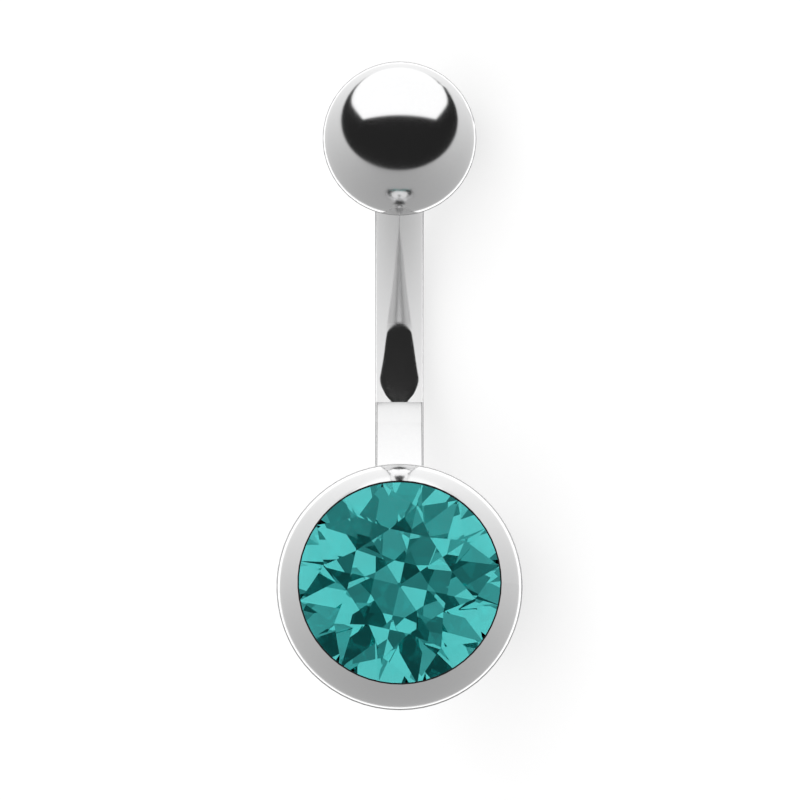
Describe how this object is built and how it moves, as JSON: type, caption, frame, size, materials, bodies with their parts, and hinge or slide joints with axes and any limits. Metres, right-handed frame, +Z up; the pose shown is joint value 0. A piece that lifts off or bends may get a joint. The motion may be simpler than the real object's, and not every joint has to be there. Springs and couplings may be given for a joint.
{
  "type": "navel ring",
  "caption": "Curved barbell navel ring in polished steel: a fixed lower ball holds a round teal brilliant, and a smaller plain ball screws on the upper end.",
  "frame": {"origin": "on the surface that the ring lies on, under the middle of its box", "axes": "+Z up, +X from the gem ball to the top ball, and the gem faces up and towards -Y"},
  "size_m": [0.021, 0.008, 0.0079],
  "materials": {
    "bar_steel": "polished surgical steel, softly grained by wear",
    "ball_steel": "mirror polished surgical steel",
    "teal_glass": "cut and polished glass, mirrored on its back facets"
  },
  "bodies": {
    "ring": {"bar_with_gem_ball": "bar_steel", "gem": "teal_glass"},
    "ball": {"top_ball": "ball_steel"}
  },
  "joints": [
    {"name": "ball_off", "type": "slide", "parent": "ring", "child": "ball", "axis": [0.8237, -0.4307, 0.3689], "range_m": [0, 0.0032]}
  ]
}
